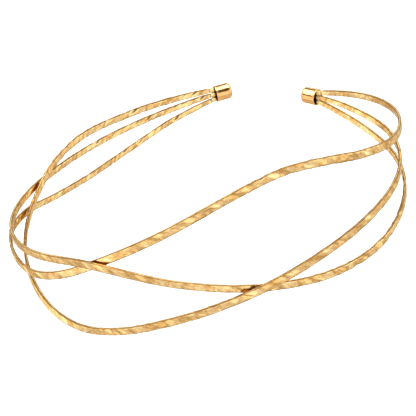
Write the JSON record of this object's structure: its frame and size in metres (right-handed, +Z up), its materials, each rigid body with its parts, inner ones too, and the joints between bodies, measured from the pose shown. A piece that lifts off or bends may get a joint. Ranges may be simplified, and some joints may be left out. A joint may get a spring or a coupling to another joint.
{
  "type": "wire headband",
  "caption": "Open headband of hammered gold-coloured wires that cross over each other and are gathered at the back into small domed end caps.",
  "frame": {"origin": "middle of the band's footprint, on the floor it lies on", "axes": "+Z up from the floor, -Y to the front of the head, +Y to the open back between the end caps, +X to the wearer's left as the band is seen from the front"},
  "size_m": [0.142, 0.1538, 0.049],
  "materials": {
    "hammered_gold": "satin hammered gold-coloured plate",
    "polished_gold": "polished gold-coloured plate"
  },
  "bodies": {
    "root": {"low_front_wire": "hammered_gold", "middle_front_wire": "hammered_gold", "upper_front_wire": "hammered_gold", "left_end_cap": "polished_gold", "right_end_cap": "polished_gold"}
  },
  "joints": []
}
